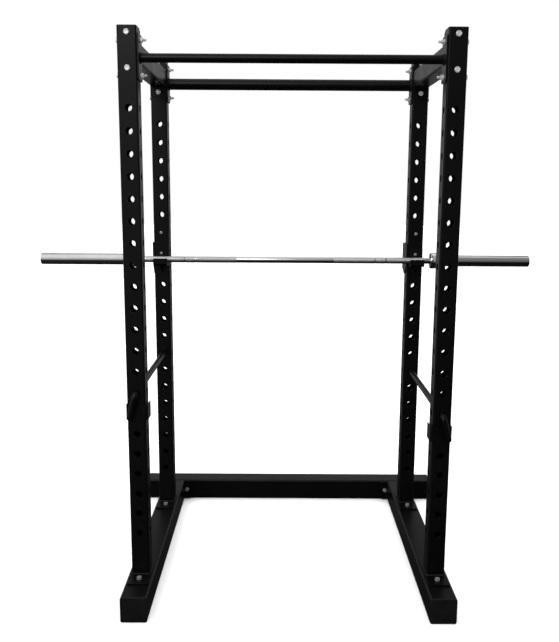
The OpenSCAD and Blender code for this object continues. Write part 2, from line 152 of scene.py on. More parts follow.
# The right half in front is dimmed to this share. The fades are half widths in the direction's X and Y.
FRONT_RIGHT_SHARE = 0.25
LEFT_RIGHT_FADE = 0.15
FRONT_BACK_FADE = 0.3

SUN_STRENGTH = 3.3
SUN_SPREAD = math.radians(85)
FRONT_BOX_PLACE = (-1.5, -4.5, 4.2)
BACK_BOX_PLACE = (1.2, 4.8, 4.2)
SOFTBOX_SIZE = (3.0, 2.0)
SOFTBOX_POWER = 60
SOFTBOX_TARGET = (0, 0, 1.2)
FLOOR_HALF = 30
FLOOR_DROP = 0.2 * MM

# Camera, as the cage is seen from standing height
CAMERA_PLACE = (-0.0439, -3.2687, 1.6043)
CAMERA_LENS = 43.165
CAMERA_HEADING = math.radians(-0.084)
CAMERA_TILT = math.radians(90 - 9.891)
CAMERA_ROLL = math.radians(0.330)

# An edge is shaded smooth up to this angle in degrees: for most pieces, for turned or threaded steel, and
# for weld beads.
SMOOTH_UP_TO = 35
MACHINED_SMOOTH_UP_TO = 25
WELD_SMOOTH_UP_TO = 60

# Faces within FLAT_ANGLE of each other belong to one flat patch, and faces within SOFT_ANGLE shade into
# each other. An edge over SHARP_ANGLE is rounded off.
FLAT_ANGLE = math.radians(0.3)
SOFT_ANGLE = math.radians(50)
SHARP_ANGLE = math.radians(38)
FLAT = math.cos(FLAT_ANGLE)
SOFT = math.cos(SOFT_ANGLE)


# ---- Materials ----

class Nodes:
    """Adds nodes to a tree and hands back their outputs."""

    def __init__(self, tree):
        self.tree = tree

    def add(self, kind, **settings):
        node = self.tree.nodes.new(kind)
        for name, value in settings.items():
            setattr(node, name, value)
        return node

    def feed(self, socket, value):
        if isinstance(value, bpy.types.NodeSocket):
            self.tree.links.new(value, socket)
        else:
            socket.default_value = value

    def remap(self, value, low, high, to_low=0.0, to_high=1.0):
        node = self.add("ShaderNodeMapRange")
        self.feed(node.inputs["Value"], value)
        node.inputs["From Min"].default_value = low
        node.inputs["From Max"].default_value = high
        node.inputs["To Min"].default_value = to_low
        node.inputs["To Max"].default_value = to_high
        return node.outputs["Result"]

    def mix(self, factor, first, second, blend="MIX"):
        node = self.add("ShaderNodeMix", data_type="RGBA", blend_type=blend)
        self.feed(node.inputs["Factor"], factor)
        self.feed(node.inputs["A"], first)
        self.feed(node.inputs["B"], second)
        return node.outputs["Result"]


class Finish(Nodes):
    """A procedural material under construction, its noise in the part's own coordinates."""

    def __init__(self, name):
        self.material = bpy.data.materials.new(name)
        self.material.use_nodes = True
        super().__init__(self.material.node_tree)
        self.shader = self.tree.nodes["Principled BSDF"]
        self.coords = self.add("ShaderNodeTexCoord").outputs["Object"]

    def set(self, **values):
        """Constant values on the shader's own sockets, named with _ for a space."""
        for name, value in values.items():
            self.shader.inputs[name.replace("_", " ")].default_value = value

    def stretched(self, scale):
        node = self.add("ShaderNodeMapping")
        self.feed(node.inputs["Vector"], self.coords)
        node.inputs["Scale"].default_value = scale
        return node.outputs["Vector"]

    def noise(self, scale, detail=2.0, roughness=0.5, coords=None):
        node = self.add("ShaderNodeTexNoise")
        self.feed(node.inputs["Vector"], coords or self.coords)
        node.inputs["Scale"].default_value = scale
        node.inputs["Detail"].default_value = detail
        node.inputs["Roughness"].default_value = roughness
        return node.outputs["Fac"]

    def math(self, operation, first, second=0.0):
        node = self.add("ShaderNodeMath", operation=operation)
        self.feed(node.inputs[0], first)
        self.feed(node.inputs[1], second)
        return node.outputs["Value"]

    def bump(self, height, distance, strength=1.0, under=None):
        node = self.add("ShaderNodeBump")
        self.feed(node.inputs["Height"], height)
        node.inputs["Distance"].default_value = distance
        node.inputs["Strength"].default_value = strength
        if under is not None:
            self.feed(node.inputs["Normal"], under)
        return node.outputs["Normal"]

    def edges(self, radius):
        """1 on sharp outer edges, 0 on flat faces."""
        bevel = self.add("ShaderNodeBevel", samples=4)
        bevel.inputs["Radius"].default_value = radius
        geometry = self.add("ShaderNodeNewGeometry")
        dot = self.add("ShaderNodeVectorMath", operation="DOT_PRODUCT")
        self.feed(dot.inputs[0], bevel.outputs["Normal"])
        self.feed(dot.inputs[1], geometry.outputs["Normal"])
        return self.remap(dot.outputs["Value"], 0.98, 0.80)

    def finish(self, colour, roughness, normal):
        self.feed(self.shader.inputs["Base Color"], colour)
        self.feed(self.shader.inputs["Roughness"], roughness)
        self.feed(self.shader.inputs["Normal"], normal)
        return self.material


def grey(value, warm=0.0):
    return (value * (1 + warm), value, value * (1 - warm), 1.0)


def powder_coat():
    """Satin black powder coat: orange peel, fine grain, thin at the edges."""
    f = Finish("powder_coat")
    cloud = f.noise(5, 4, 0.6)
    worn = f.math("MULTIPLY", f.edges(1.2 * MM), f.remap(f.noise(55, 3), 0.42, 0.62))
    colour = f.mix(f.remap(cloud, 0.3, 0.7), grey(0.0007), grey(0.0015, 0.03))
    colour = f.mix(worn, colour, grey(0.012, 0.02))
    rough = f.remap(f.noise(16, 5, 0.65), 0.3, 0.7, 0.29, 0.38)
    rough = f.math("SUBTRACT", rough, f.math("MULTIPLY", worn, 0.10))
    peel = f.bump(f.noise(380, 2), 0.10 * MM, 0.6)
    grain = f.bump(f.noise(1700, 1), 0.03 * MM, 0.5, peel)
    f.set(Specular_IOR_Level=0.22)
    return f.finish(colour, rough, grain)


def cap_plastic():
    """Moulded black plastic with a spark-eroded grain."""
    f = Finish("cap_plastic")
    colour = f.mix(f.remap(f.noise(25, 3), 0.35, 0.65), grey(0.0015), grey(0.003))
    colour = f.mix(f.edges(0.8 * MM), colour, grey(0.010))
    rough = f.remap(f.noise(40, 4), 0.3, 0.7, 0.50, 0.62)
    grain = f.bump(f.noise(1300, 3, 0.7), 0.06 * MM, 0.8)
    f.set(Specular_IOR_Level=0.30)
    return f.finish(colour, rough, grain)


def wear_pad():
    """Dense black pad, scuffed along the way the bar rolls in and out."""
    f = Finish("wear_pad")
    scuffs = f.noise(1, 4, 0.6, f.stretched((700, 40, 700)))
    colour = f.mix(f.remap(scuffs, 0.5, 0.75), grey(0.001), grey(0.004))
    rough = f.remap(f.noise(30, 3), 0.3, 0.7, 0.42, 0.58)
    f.set(Specular_IOR_Level=0.20)
    return f.finish(colour, rough, f.bump(scuffs, 0.05 * MM, 0.6))


def zinc_plate(name, shade, metallic):
    """Zinc plate: spangle of slightly cooler and warmer patches over fine machining marks."""
    f = Finish(name)
    patches = f.remap(f.noise(240, 3), 0.35, 0.65)
    cool = (0.92 * shade, 0.96 * shade, shade, 1.0)
    warm = (1.1 * shade, 1.08 * shade, 1.03 * shade, 1.0)
    colour = f.mix(patches, cool, warm)
    rough = f.remap(f.noise(500, 3), 0.3, 0.7, 0.28, 0.44)
    f.set(Metallic=metallic)
    return f.finish(colour, rough, f.bump(f.noise(2500, 2), 0.02 * MM, 0.5))


def chrome():
    """Hard chrome: ground finish with fine lines round the axis and faint handling smears."""
    f = Finish("chrome")
    lines = f.noise(1, 2, 0.7, f.stretched((2600, 12, 12)))
    smears = f.noise(14, 4, 0.6, f.stretched((1.0, 3.0, 3.0)))
    colour = f.mix(f.remap(smears, 0.4, 0.7), grey(0.80), (0.70, 0.71, 0.725, 1.0))
    rough = f.remap(smears, 0.35, 0.75, 0.07, 0.17)
    rough = f.math("ADD", rough, f.remap(lines, 0.4, 0.7, 0.0, 0.05))
    f.set(Metallic=1.0)
    return f.finish(colour, rough, f.bump(lines, 0.01 * MM, 0.35))


def knurled_chrome(axis_y, axis_z):
    """Chrome grip with a diamond knurl: two sets of helical grooves crossing at 60 degrees."""
    f = Finish("knurled_chrome")
    xyz = f.add("ShaderNodeSeparateXYZ")
    f.feed(xyz.inputs["Vector"], f.coords)
    across = f.math("SUBTRACT", xyz.outputs["Y"], axis_y)
    up = f.math("SUBTRACT", xyz.outputs["Z"], axis_z)
    turn = f.math("ARCTAN2", up, across)
    round_phase = f.math("MULTIPLY", turn, KNURL_STARTS)
    along_pitch = KNURL_STARTS / GRIP_R / math.tan(KNURL_CROSSING)
    along_phase = f.math("MULTIPLY", xyz.outputs["X"], along_pitch)
    waves = []
    for operation in ("ADD", "SUBTRACT"):
        phase = f.math(operation, along_phase, round_phase)
        waves.append(f.math("ABSOLUTE", f.math("SINE", f.math("MULTIPLY", phase, 0.5))))
    height = f.math("MINIMUM", waves[0], waves[1])
    grime = f.noise(30, 4, 0.6)
    # The grooves are coloured darker than the peaks: painted shade in the knurl. The grime noise varies
    # the peaks' tone at random.
    colour = f.mix(f.remap(height, 0.0, 0.35), grey(0.50), f.mix(grime, grey(0.74), grey(0.84)))
    rough = f.remap(grime, 0.3, 0.7, 0.30, 0.42)
    f.set(Metallic=1.0)
    return f.finish(colour, rough, f.bump(height, 0.30 * MM, 0.7))


def bronze():
    """Sintered bronze: porous, warm, slightly darkened by oil."""
    f = Finish("sintered_bronze")
    pores = f.noise(1800, 3, 0.7)
    colour = f.mix(f.remap(pores, 0.35, 0.6), (0.30, 0.20, 0.10, 1.0), (0.62, 0.43, 0.22, 1.0))
    rough = f.remap(f.noise(60, 3), 0.3, 0.7, 0.35, 0.5)
    f.set(Metallic=1.0)
    return f.finish(colour, rough, f.bump(pores, 0.04 * MM, 0.7))


def pale_floor():
    f = Finish("pale_floor")
    colour = f.mix(f.noise(0.8, 3), grey(0.93), grey(0.95))
    rough = f.remap(f.noise(3, 3), 0.3, 0.7, 0.75, 0.85)
    f.set(Specular_IOR_Level=0.1)
    return f.finish(colour, rough, f.bump(f.noise(60, 3), 0.1 * MM, 0.3))


# ---- Making pieces ----

def patch_areas(bm):
    """For each face, the area of the flat patch it belongs to."""
    areas = [0.0] * len(bm.faces)
    seen = [False] * len(bm.faces)
    for seed in bm.faces:
        if seen[seed.index]:
            continue
        seen[seed.index] = True
        patch = [seed]
        for face in patch:
            for edge in face.edges:
                for other in edge.link_faces:
                    if not seen[other.index] and other.normal.dot(seed.normal) > FLAT:
                        seen[other.index] = True
                        patch.append(other)
        area = sum(face.calc_area() for face in patch)
        for face in patch:
            areas[face.index] = area
    return areas


def corner_normals(bm):
    """A normal for each face corner. Wide flat patches keep theirs; narrow faces turn between them."""
    bm.faces.index_update()
    areas = patch_areas(bm)
    normals = []
    for face in bm.faces:
        for loop in face.loops:
            total = Vector()
            for other in loop.vert.link_faces:
                if other.normal.dot(face.normal) > SOFT:
                    total += other.normal * areas[other.index] ** 2
            normals.append(total.normalized())
    return normals


def add_piece(name, bm, materials, body, nodes=(), smooth=SMOOTH_UP_TO, weighted=False):
    """Turns a bmesh in the frame's coordinates into a piece on a body, in place of CAD nodes."""
    bmesh.ops.recalc_face_normals(bm, faces=bm.faces)
    normals = corner_normals(bm) if weighted else None
    mesh = bpy.data.meshes.new(name)
    bm.to_mesh(mesh)
    bm.free()
    for material in materials:
        mesh.materials.append(material)
    mesh.shade_smooth()
    if weighted:
        mesh.normals_split_custom_set(normals)
    else:
        mesh.set_sharp_from_angle(angle=math.radians(smooth))
    piece = bpy.data.objects.new(name, mesh)
    bpy.context.scene.collection.objects.link(piece)
    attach(piece, body)
    if nodes:
        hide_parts(*nodes)


def body_of_node(node):
    for body, nodes in frame["record"]["behaviour"]["bodies"].items():
        if node in nodes:
            return body
    raise KeyError(node)


def refine(node, material, width):
    """A copy of a CAD node with its flat faces merged and its sharp edges rounded off to width."""
    bm = bmesh.new()
    bm.from_mesh(frame["nodes"][node].data)
    bmesh.ops.remove_doubles(bm, verts=bm.verts, dist=0.001 * MM)
    bmesh.ops.dissolve_limit(bm, angle_limit=FLAT_ANGLE, verts=bm.verts, edges=bm.edges)
    sharp = [edge for edge in bm.edges if edge.calc_face_angle(0) > SHARP_ANGLE]
    bmesh.ops.bevel(bm, geom=sharp, offset=width, offset_type="OFFSET", segments=2, profile=0.5,
                    affect="EDGES", clamp_overlap=True)
    add_piece("fine_" + node, bm, [material], body_of_node(node), [node], weighted=True)


def add_ring(bm, points):
    return [bm.verts.new(point) for point in points]


def bridge(bm, first, second):
    """Quads between two rings of the same length."""
    count = len(first)
    for i in range(count):
        j = (i + 1) % count
        bm.faces.new((first[i], first[j], second[j], second[i]))


def loft(bm, rings, closed=False):
    """Skins a stack of rings of points. It ends in a face each way, or closed, it meets its own start."""
    made = [add_ring(bm, ring) for ring in rings]
    for first, second in zip(made, made[1:]):
        bridge(bm, first, second)
    if closed:
        bridge(bm, made[-1], made[0])
    else:
        bm.faces.new(made[0])
        bm.faces.new(made[-1])


def polar(radius, angle, height=0.0):
    return Vector((radius * math.cos(angle), radius * math.sin(angle), height))


def ring_of(place, radius_of, height_of, segments):
    """Points round the local Z axis of place, at a radius and height given for each angle."""
    ring = []
    for i in range(segments):
        angle = math.tau * i / segments
        ring.append(place @ polar(radius_of(angle), angle, height_of(angle)))
    return ring


def lathe(bm, profile, place, segments=64, closed=False):
    """Turns a profile of (radius, height) about the local Z axis of place. A closed one makes a ring."""
    rings = []
    for radius, height in profile:
        rings.append(ring_of(place, lambda a: radius, lambda a: height, segments))
    loft(bm, rings, closed)


def placed(origin, out, turn=0.0):
    """A matrix at origin whose local +Z points along out, turned about it by turn degrees."""
    rotation = Vector(out).to_track_quat("Z", "Y").to_matrix().to_4x4()
    return Matrix.Translation(Vector(origin)) @ rotation @ Matrix.Rotation(math.radians(turn), 4, "Z")


# ---- Fasteners ----

def hex_radius(angle):
    """Distance from the axis to the hexagon's outline."""
    sector = math.radians(60)
    return BOLT_FLATS / 2 / math.cos((angle % sector) - sector / 2)


def flat_ring(place, height, radius_of):
    return ring_of(place, radius_of, lambda a: height, HEX_SEGMENTS)


def round_ring(place, height, radius):
    return flat_ring(place, height, lambda a: radius)


def chamfered_ring(place, base, direction):
    """The curved line where a 30 degree cone cuts the hexagon's sides."""
    def height_of(angle):
        drop = max(0.0, hex_radius(angle) - BOLT_FACE_R) * math.tan(math.radians(30))
        return base - direction * drop

    return ring_of(place, hex_radius, height_of, HEX_SEGMENTS)


def hex_head(bm, place):
    """Bolt head on local Z = 0: washer face, chamfered top, shallow dish."""
    face_h = 0.4 * MM
    top = BOLT_HEAD_H
    rings = [
        round_ring(place, 0, BOLT_FACE_R),
        round_ring(place, face_h, BOLT_FACE_R),
        flat_ring(place, face_h + 0.05 * MM, hex_radius),
        chamfered_ring(place, top, 1),
        round_ring(place, top, BOLT_FACE_R - 0.3 * MM),
        round_ring(place, top - 0.25 * MM, BOLT_FACE_R - 1.6 * MM),
    ]
    loft(bm, rings)


def hex_nut(bm, place):
    """Nut from local Z = 0 up, chamfered on both faces and at both ends of its bore."""
    bore_r = BOLT_R + 0.1 * MM
    chamfer = 0.8 * MM
    rings = [
        round_ring(place, 0, BOLT_FACE_R),
        chamfered_ring(place, 0, -1),
        chamfered_ring(place, NUT_H, 1),
        round_ring(place, NUT_H, BOLT_FACE_R),
        round_ring(place, NUT_H, bore_r + chamfer),
        round_ring(place, NUT_H - chamfer, bore_r),
        round_ring(place, chamfer, bore_r),
        round_ring(place, 0, bore_r + chamfer),
    ]
    loft(bm, rings, closed=True)


def washer(bm, place):
    """Punched washer from local Z = 0 up: rolled on its upper edge."""
    soft = 0.5 * MM
    profile = [
        (WASHER_BORE_R, 0.2 * MM),
        (WASHER_BORE_R + 0.2 * MM, 0),
        (WASHER_R - 0.2 * MM, 0),
        (WASHER_R, 0.2 * MM),
        (WASHER_R, WASHER_T - soft),
        (WASHER_R - 0.15 * MM, WASHER_T - 0.15 * MM),
        (WASHER_R - soft, WASHER_T),
        (WASHER_BORE_R + soft, WASHER_T),
        (WASHER_BORE_R + 0.15 * MM, WASHER_T - 0.15 * MM),
        (WASHER_BORE_R, WASHER_T - soft),
    ]
    lathe(bm, profile, place, segments=40, closed=True)


def shank(bm, place, length, thread_l, radius=BOLT_R):
    """Bolt shank from local Z = 0 down, its last stretch cut with a helical thread."""
    segments = 24
    steps_a_turn = 6
    tip = 1.2 * MM
    cut = THREAD_DEPTH * radius / BOLT_R
    steps = round((thread_l - tip) / THREAD_PITCH * steps_a_turn)
    rows = []
    if length > thread_l:
        rows.append([(radius, 0)] * segments)
        rows.append([(radius, length - thread_l)] * segments)
    for step in range(steps + 1):
        depth = length - thread_l + (thread_l - tip) * step / steps
        fade = min(1.0, step / steps_a_turn)
        row = []
        for i in range(segments):
            phase = (depth / THREAD_PITCH + i / segments) % 1.0
            groove = 1 - abs(2 * phase - 1)
            row.append((radius - cut * groove * fade, depth))
        rows.append(row)
    rows.append([(radius - cut - 0.2 * MM, length)] * segments)
    rings = []
    for row in rows:
        ring = []
        for i, (distance, depth) in enumerate(row):
            ring.append(place @ polar(distance, math.tau * i / segments, -depth))
        rings.append(ring)
    loft(bm, rings)


def bolt(bm, place, length, thread_l):
    """Head above a washer's thickness, shank of that length below local Z = 0."""
    raised = place @ Matrix.Translation((0, 0, WASHER_T))
    hex_head(bm, raised)
    shank(bm, raised, length + WASHER_T, thread_l)


def socket_ring(place, height, flats):
    """A turn round a hexagonal hole for a key."""
    return flat_ring(place, height, lambda a: hex_radius(a) * flats / BOLT_FLATS)


def button_screw(bm, place, length):
    """Domed head with a hexagonal socket on local Z = 0, threaded shank below it."""
    rings = []
    for radius, height in SCREW_DOME:
        rings.append(round_ring(place, height * SCREW_HEAD_H, radius * SCREW_HEAD_R))
    rings.append(socket_ring(place, SCREW_HEAD_H, SCREW_SOCKET_FLATS))
    rings.append(socket_ring(place, 0.45 * SCREW_HEAD_H, SCREW_SOCKET_FLATS))
    rings.append(socket_ring(place, 0.40 * SCREW_HEAD_H, 0.5 * SCREW_SOCKET_FLATS))
    loft(bm, rings)
    shank(bm, place, length, length, SCREW_R)


def make_hook_screws(side, zinc):
    """One screw into the pin through the plate, one through the pad into the plate."""
    pin_turn = 20
    pad_turn = 47
    pin_low, pin_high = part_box(side + "_hook_pin")
    axis = (pin_low + pin_high) / 2
    plate_front = pin_low.y - PLATE_T
    pad_front = plate_front - HOOK_LINER_T
    bm = bmesh.new()
    button_screw(bm, placed((axis.x, plate_front, axis.z), (0, -1, 0), pin_turn), PIN_SCREW_L)
    spot = (axis.x, pad_front, axis.z - HOOK_LINER_SCREW_DROP)
    button_screw(bm, placed(spot, (0, -1, 0), pad_turn), LINER_SCREW_L)
    add_piece(side + "_button_screws", bm, [zinc], side + "_hook", [side + "_hook_screws"],
              MACHINED_SMOOTH_UP_TO)


def fastener_sets(name, places, grip, tail, far_washer, zinc):
    """Bolts, washers and nuts at places whose local +Z points out of the clamped stack."""
    bolts = bmesh.new()
    washers = bmesh.new()
    nuts = bmesh.new()
    stack = grip + (WASHER_T if far_washer else 0)
    for place in places:
        bolt(bolts, place, stack + NUT_H + tail, NUT_H + tail + 3 * MM)
        washer(washers, place)
        if far_washer:
            turned = place @ Matrix.Translation((0, 0, -grip)) @ Matrix.Rotation(math.pi, 4, "X")
            washer(washers, turned)
        hex_nut(nuts, place @ Matrix.Translation((0, 0, -stack - NUT_H)))
    nut_node = "foot_weld_nuts" if name == "foot" else name + "_nuts"
    add_piece("bolt_set_" + name, bolts, [zinc], "frame", [name + "_bolts"], MACHINED_SMOOTH_UP_TO)
    add_piece("washer_set_" + name, washers, [zinc], "frame", [name + "_washers"])
    add_piece("nut_set_" + name, nuts, [zinc], "frame", [nut_node], MACHINED_SMOOTH_UP_TO)


def node_centre(node):
    low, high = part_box(node)
    return (low + high) / 2


def column_centre(side, end):
    return node_centre(f"{end}_{side}_upright")


def make_fasteners(zinc, darker_zinc):
    """The cage's bolts with washers and nuts, each turned by its own angle, as tightening leaves them."""
    column_low, column_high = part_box("front_left_upright")
    half = (column_high.x - column_low.x) / 2
    beam_z = node_centre("left_side_beam").z
    bar_z = node_centre("front_pullup_bar").z
    plate_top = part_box("front_left_foot_plate")[1].z
    top_places = []
    foot_places = []
    for index, (side, end) in enumerate((s, e) for s in SIDES for e in ENDS):
        centre = column_centre(side, end)
        for step in (-1, 1):
            lift = step * FLANGE_BOLT_PITCH / 2
            turn = 17 * index + 23 * step
            face = Vector((centre.x, centre.y + SIGN[end] * half, beam_z + lift))
            top_places.append(placed(face, (0, SIGN[end], 0), turn))
            face = Vector((centre.x + SIGN[side] * half, centre.y, bar_z + lift))
            top_places.append(placed(face, (SIGN[side], 0, 0), turn + 11))
            foot = Vector((centre.x, centre.y + step * FOOT_BOLT_Y, plate_top))
            foot_places.append(placed(foot, (0, 0, 1), turn + 5))
    base_places = []
    for side in SIDES:
        low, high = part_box(side + "_rail_flange")
        for step in (-1, 1):
            spot = Vector(((low.x + high.x) / 2 + step * BASE_BOLT_X, low.y, BASE_BOLT_Z))
            base_places.append(placed(spot, (0, -1, 0), 9 + 31 * step * SIGN[side]))
    base_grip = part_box("rear_crossmember")[1].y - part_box("left_rail_flange")[0].y
    fastener_sets("top", top_places, 2 * half + PLATE_T, BOLT_TAIL, True, zinc)
    fastener_sets("foot", foot_places, FOOT_GRIP, BOLT_TAIL, False, darker_zinc)
    fastener_sets("base", base_places, base_grip, BASE_BOLT_TAIL, True, darker_zinc)


# ---- Moulded end caps ----

def square_ring(place, side, corner, height):
    """Points round a square with rounded corners, in the local plane Z = height."""
    arc = 6
    ring = []
    middle = side / 2 - corner
    for quarter in range(4):
        cx = middle * (1, -1, -1, 1)[quarter]
        cy = middle * (1, 1, -1, -1)[quarter]
        for i in range(arc + 1):
            angle = math.radians(90 * quarter + 90 * i / arc)
            point = Vector((cx + corner * math.cos(angle), cy + corner * math.sin(angle), height))
            ring.append(place @ point)
    return ring


def moulded_cap(bm, place, side, corner, height, plug_l):
    """Plug-in cap on local Z = 0: rounded rim, faint dome, hollow plug with a soft lead-in below."""
    rim = 2.4 * MM
    dome = 0.35 * MM
    rings = [square_ring(place, side, corner, 0), square_ring(place, side, corner, height - rim)]
    steps = 5
    for i in range(1, steps + 1):
        angle = math.radians(90 * i / steps)
        inset = rim * (1 - math.cos(angle))
        rise = (rim - dome) * math.sin(angle)
        turned = max(corner - inset, 1 * MM)
        rings.append(square_ring(place, side - 2 * inset, turned, height - rim + rise))
    for share in (0.80, 0.55, 0.30, 0.10):
        rise = height - dome * share * share
        turned = (corner - rim) * share + 0.2 * MM
        rings.append(square_ring(place, (side - 2 * rim) * share, turned, rise))
    loft(bm, rings)
    play = 0.8 * MM
    lead_in = 2 * MM
    plug = side - 2 * TUBE_WALL - play
    inner = plug - 2 * TUBE_WALL
    plug_corner = corner - TUBE_WALL
    rings = [
        square_ring(place, plug, plug_corner, 0),
        square_ring(place, plug, plug_corner, -plug_l + lead_in),
        square_ring(place, plug - lead_in, plug_corner, -plug_l),
        square_ring(place, inner, 1 * MM, -plug_l),
        square_ring(place, inner, 1 * MM, 0),
    ]
    loft(bm, rings)


def add_cap(node, place, side, corner, height, plug_l, plastic):
    bm = bmesh.new()
    moulded_cap(bm, place, side, corner, height, plug_l)
    add_piece("moulded_" + node, bm, [plastic], "frame", [node])


def add_upright_cap(side, end, plastic):
    node = f"{end}_{side}_upright_cap"
    low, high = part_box(node)
    tube_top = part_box(f"{end}_{side}_upright")[1].z
    centre = column_centre(side, end)
    place = placed((centre.x, centre.y, tube_top), (0, 0, 1))
    add_cap(node, place, high.x - low.x, TUBE_CORNER, high.z - tube_top, CAP_PLUG_L, plastic)


def add_rail_cap(side, plastic):
    node = side + "_rail_cap"
    low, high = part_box(node)
    tube_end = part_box(side + "_base_rail")[0].y
    place = placed(((low.x + high.x) / 2, tube_end, (low.z + high.z) / 2), (0, -1, 0))
    add_cap(node, place, high.x - low.x, BASE_CORNER, tube_end - low.y, RAIL_PLUG_L, plastic)


def add_crossmember_cap(side, plastic):
    node = side + "_crossmember_cap"
    low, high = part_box(node)
    tube_low, tube_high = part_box("rear_crossmember")
    tube_end = tube_high.x if side == "right" else tube_low.x
    reach = high.x - tube_end if side == "right" else tube_end - low.x
    place = placed((tube_end, (low.y + high.y) / 2, (low.z + high.z) / 2), (SIGN[side], 0, 0))
    add_cap(node, place, high.y - low.y, BASE_CORNER, reach, RAIL_PLUG_L, plastic)


def make_caps(plastic):
    for side in SIDES:
        for end in ENDS:
            add_upright_cap(side, end, plastic)
        add_rail_cap(side, plastic)
        add_crossmember_cap(side, plastic)


# ---- Weld beads ----

def weld_bead(bm, path, leg, closed):
    """A rippled fillet. path holds points in the corner, each with the directions of the two legs."""
    travelled = 0.0
    previous = path[0][0]
    rings = []
    arc = 6
    sunk = 0.4 * MM
    wander_rate = 160
    wander_share = 0.10
    ripple_share = 0.07
    ripple_lag = 0.35
    for corner, first, second in path:
        travelled += (corner - previous).length
        previous = corner
        wander = noise.noise(corner * wander_rate) * wander_share
        ring = [corner - (first + second) * sunk]
        for i in range(arc + 1):
            share = i / arc
            lag = ripple_lag * (2 * share - 1) ** 2
            ripple = ripple_share * math.sin(math.tau * (travelled / WELD_RIPPLE - lag))
            size = leg * (1 + wander + ripple)
            angle = math.radians(90 * share)
            bulge = 0.86 + 0.14 * abs(math.cos(2 * angle))
            ring.append(corner + (first * math.cos(angle) + second * math.sin(angle)) * size * bulge)
        rings.append(ring)
    loft(bm, rings, closed)


def straight_run(start, finish, first, second):
    start = Vector(start)
    finish = Vector(finish)
    steps = max(4, round((finish - start).length / WELD_STEP))
    return [(start.lerp(finish, i / steps), Vector(first), Vector(second)) for i in range(steps + 1)]


def square_run(place, side, corner):
    """Round the foot of a square tube that stands on local Z = 0 of place."""
    half = side / 2
    straight = side - 2 * corner
    per_side = round(straight / WELD_STEP)
    per_corner = max(6, round(corner * math.pi / 2 / WELD_STEP))
    up = (place.to_3x3() @ Vector((0, 0, 1))).normalized()
    run = []
    for quarter in range(4):
        spin = Matrix.Rotation(math.radians(90 * quarter), 4, "Z")
        for i in range(per_side):
            local = Vector((half, -straight / 2 + straight * i / per_side, 0))
            out = (place.to_3x3() @ spin.to_3x3() @ Vector((1, 0, 0))).normalized()
            run.append((place @ spin @ local, out, up))
        for i in range(per_corner):
            angle = math.radians(90 * i / per_corner)
            away = polar(1, angle)
            local = Vector((straight / 2, straight / 2, 0)) + away * corner
            out = (place.to_3x3() @ spin.to_3x3() @ away).normalized()
            run.append((place @ spin @ local, out, up))
    return run


def round_run(place, radius):
    """Round the end of a round bar that stands on local Z = 0 of place."""
    steps = round(math.tau * radius / WELD_STEP)
    up = (place.to_3x3() @ Vector((0, 0, 1))).normalized()
    run = []
    for i in range(steps):
        away = polar(1, math.tau * i / steps)
        run.append((place @ (away * radius), (place.to_3x3() @ away).normalized(), up))
    return run


def foot_weld(bm, side, end):
    low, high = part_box(f"{end}_{side}_upright")
    foot = placed(((low.x + high.x) / 2, (low.y + high.y) / 2, low.z), (0, 0, 1))
    weld_bead(bm, square_run(foot, high.x - low.x, TUBE_CORNER), TUBE_WELD, True)


def pullup_bar_weld(bm, side, end):
    low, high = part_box(end + "_pullup_bar")
    bar_end = high.x if side == "right" else low.x
    centre = (low + high) / 2
    place = placed((bar_end, centre.y, centre.z), (-SIGN[side], 0, 0))
    weld_bead(bm, round_run(place, (high.y - low.y) / 2), TUBE_WELD, True)


def side_beam_welds(bm, side, end):
    low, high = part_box(side + "_side_beam")
    y = high.y if end == "rear" else low.y
    for z, up in ((low.z, -1), (high.z, 1)):
        start = (low.x + TUBE_CORNER, y, z)
        finish = (high.x - TUBE_CORNER, y, z)
        run = straight_run(start, finish, (0, 0, up), (0, -SIGN[end], 0))
        weld_bead(bm, run, TUBE_WELD, False)


def base_rail_welds(bm, side):
    low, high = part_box(side + "_base_rail")
    for x, out in ((low.x, -1), (high.x, 1)):
        start = (x, high.y, low.z + BASE_CORNER)
        finish = (x, high.y, high.z - BASE_CORNER)
        weld_bead(bm, straight_run(start, finish, (out, 0, 0), (0, -1, 0)), RAIL_WELD, False)


def frame_welds(coat):
    bm = bmesh.new()
    for side in SIDES:
        for end in ENDS:
            foot_weld(bm, side, end)
            pullup_bar_weld(bm, side, end)
            side_beam_welds(bm, side, end)
        base_rail_welds(bm, side)
    add_piece("frame_weld_beads", bm, [coat], "frame", smooth=WELD_SMOOTH_UP_TO)


def safety_welds(side, coat):
    """The slanting leg touches the saddle along a line, so a bead fills the groove on each side of it."""
    saddle_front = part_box(side + "_saddle")[0].y
    rod_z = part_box(side + "_safety_rod")[1].z - ROD_R
    bend = Vector((column_centre(side, "front").x, saddle_front, rod_z))
    down = Vector((SIGN[side] * math.sin(ROD_LEAN), 0, -math.cos(ROD_LEAN)))
    across = Vector((math.cos(ROD_LEAN), 0, SIGN[side] * math.sin(ROD_LEAN)))
    top_gap = 3 * MM
    end_gap = 4 * MM
    groove = 6.5 * MM
    start = (SADDLE_TOP_DROP + top_gap) / math.cos(ROD_LEAN)
    finish = ROD_LEG_L - end_gap
    bm = bmesh.new()
    for out in (-1, 1):
        edge = bend + across * out * groove
        run = straight_run(edge + down * start, edge + down * finish, across * out, (0, -1, 0))
        weld_bead(bm, run, SADDLE_WELD, False)
    add_piece(side + "_saddle_weld_beads", bm, [coat], side + "_safety",
              smooth=WELD_SMOOTH_UP_TO)


